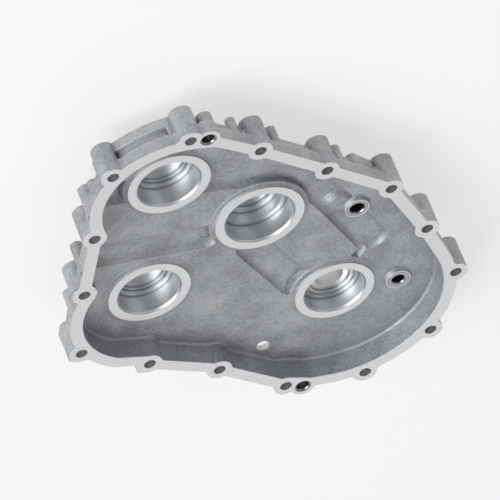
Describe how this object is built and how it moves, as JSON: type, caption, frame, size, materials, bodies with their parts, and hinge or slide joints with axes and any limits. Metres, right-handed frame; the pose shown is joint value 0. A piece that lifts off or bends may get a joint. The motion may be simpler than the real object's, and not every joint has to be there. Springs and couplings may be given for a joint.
{
  "type": "gearbox housing",
  "caption": "Cast aluminium gearbox housing half with a bolted joint flange, bearing seats, guide bushes and oil troughs in its floor.",
  "frame": {"origin": "centre of the footprint of the bounding box, on the plane of the rear boss ends", "axes": "+Z out of the open side, square to the joint face; +Y along the long side, towards the upper bearing"},
  "size_m": [0.296, 0.3694, 0.046],
  "materials": {
    "cast_aluminium": "as cast, shot blasted, with milled joint and bearing faces",
    "sleeve_steel": "ground steel"
  },
  "bodies": {
    "root": {"housing": "cast_aluminium", "upper_dowel_sleeve": "sleeve_steel", "lower_dowel_sleeve": "sleeve_steel", "upper_guide_bush": "sleeve_steel", "lower_guide_bush": "sleeve_steel"}
  },
  "joints": []
}
